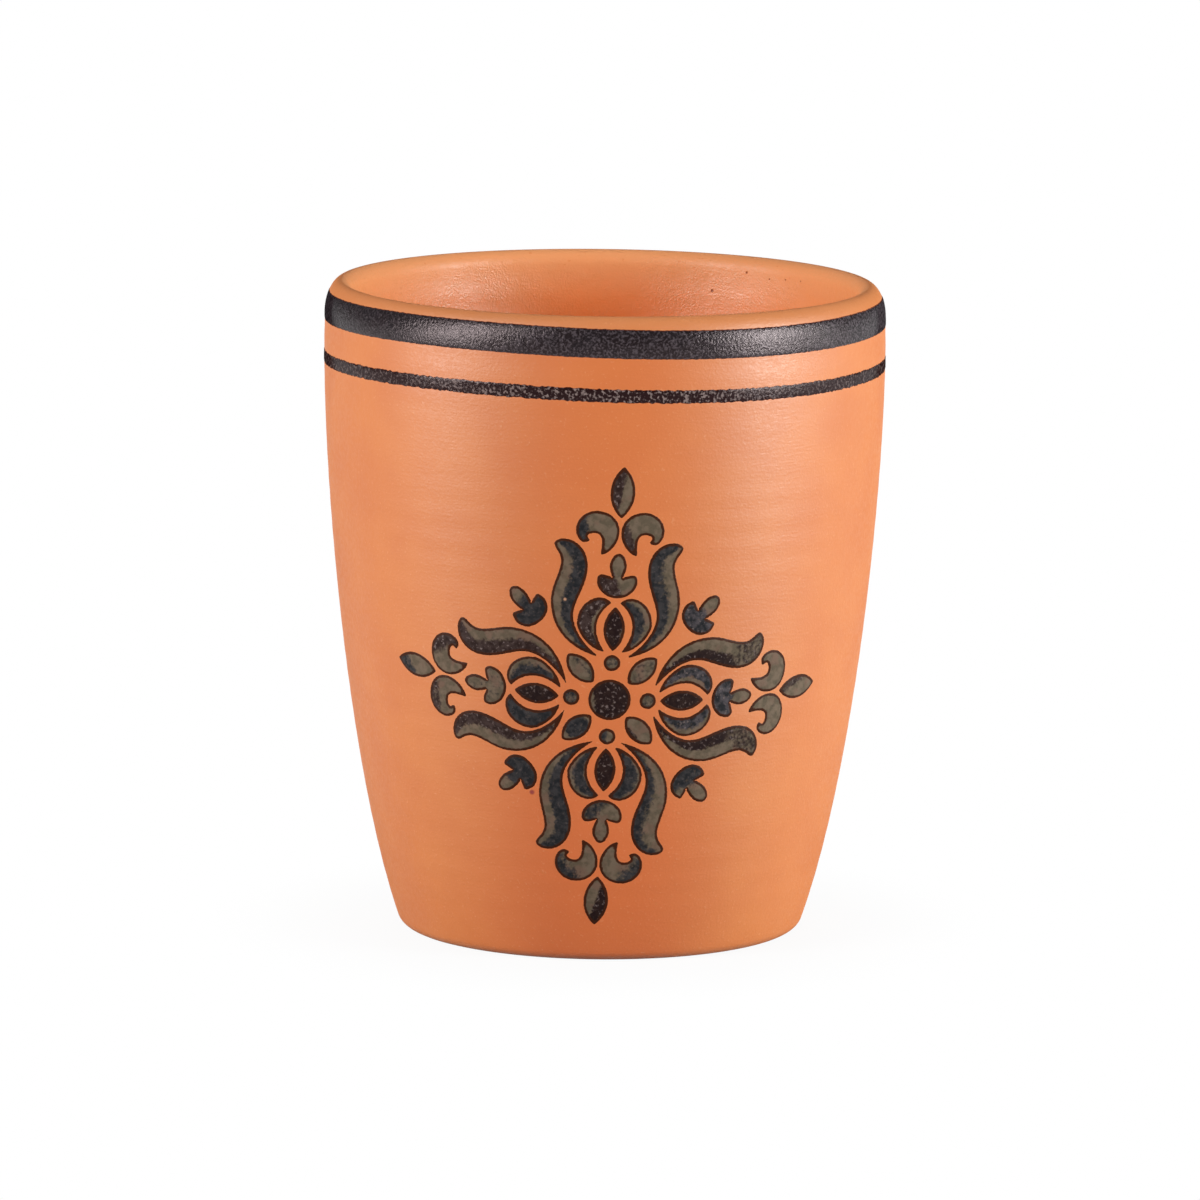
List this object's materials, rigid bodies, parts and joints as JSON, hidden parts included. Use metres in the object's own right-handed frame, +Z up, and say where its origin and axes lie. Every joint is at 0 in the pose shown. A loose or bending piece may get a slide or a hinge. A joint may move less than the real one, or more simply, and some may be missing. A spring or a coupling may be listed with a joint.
{
  "type": "tea cup",
  "caption": "Handleless terracotta tea cup with a rounded lip, dark enamel stripes below it and a folk flower ornament on its front; stands on a flat foot ring.",
  "frame": {"origin": "on the table under the middle of the cup", "axes": "+Z up along the cup's axis, flower towards -Y, +X to the right as seen from the front"},
  "size_m": [0.075, 0.075, 0.0866],
  "materials": {
    "clay": "satin terracotta, fine-grained",
    "charcoal_enamel": "pebbled charcoal enamel",
    "plum_enamel": "speckled plum-black enamel",
    "olive_enamel": "mottled olive-grey enamel",
    "navy_enamel": "mottled navy and olive enamel"
  },
  "bodies": {
    "root": {"cup_body": "clay", "upper_band": "charcoal_enamel", "lower_band": "plum_enamel", "centre_disc": "plum_enamel", "dot_top": "olive_enamel", "dot_right": "olive_enamel", "dot_bottom": "olive_enamel", "dot_left": "olive_enamel", "seed_top": "plum_enamel", "seed_right": "plum_enamel", "seed_bottom": "plum_enamel", "seed_left": "plum_enamel", "bud_top": "olive_enamel", "bud_right": "olive_enamel", "bud_bottom": "olive_enamel", "bud_left": "olive_enamel", "tip_leaf_top": "olive_enamel", "tip_leaf_right": "olive_enamel", "tip_leaf_bottom": "olive_enamel", "tip_leaf_left": "olive_enamel", "inner_petal_top_left": "navy_enamel", "inner_petal_top_right": "navy_enamel", "inner_petal_right_left": "navy_enamel", "inner_petal_right_right": "navy_enamel", "inner_petal_bottom_left": "navy_enamel", "inner_petal_bottom_right": "navy_enamel", "inner_petal_left_left": "navy_enamel", "inner_petal_left_right": "navy_enamel", "outer_petal_top_left": "navy_enamel", "outer_petal_top_right": "navy_enamel", "outer_petal_right_left": "navy_enamel", "outer_petal_right_right": "navy_enamel", "outer_petal_bottom_left": "navy_enamel", "outer_petal_bottom_right": "navy_enamel", "outer_petal_left_left": "navy_enamel", "outer_petal_left_right": "navy_enamel", "scroll_top_left": "olive_enamel", "scroll_top_right": "olive_enamel", "scroll_right_left": "olive_enamel", "scroll_right_right": "olive_enamel", "scroll_bottom_left": "olive_enamel", "scroll_bottom_right": "olive_enamel", "scroll_left_left": "olive_enamel", "scroll_left_right": "olive_enamel", "diagonal_leaf_top_right": "olive_enamel", "diagonal_leaf_bottom_right": "olive_enamel", "diagonal_leaf_bottom_left": "olive_enamel", "diagonal_leaf_top_left": "olive_enamel", "corner_bud_top_right": "navy_enamel", "corner_bud_bottom_right": "navy_enamel", "corner_bud_bottom_left": "navy_enamel", "corner_bud_top_left": "navy_enamel"}
  },
  "joints": []
}
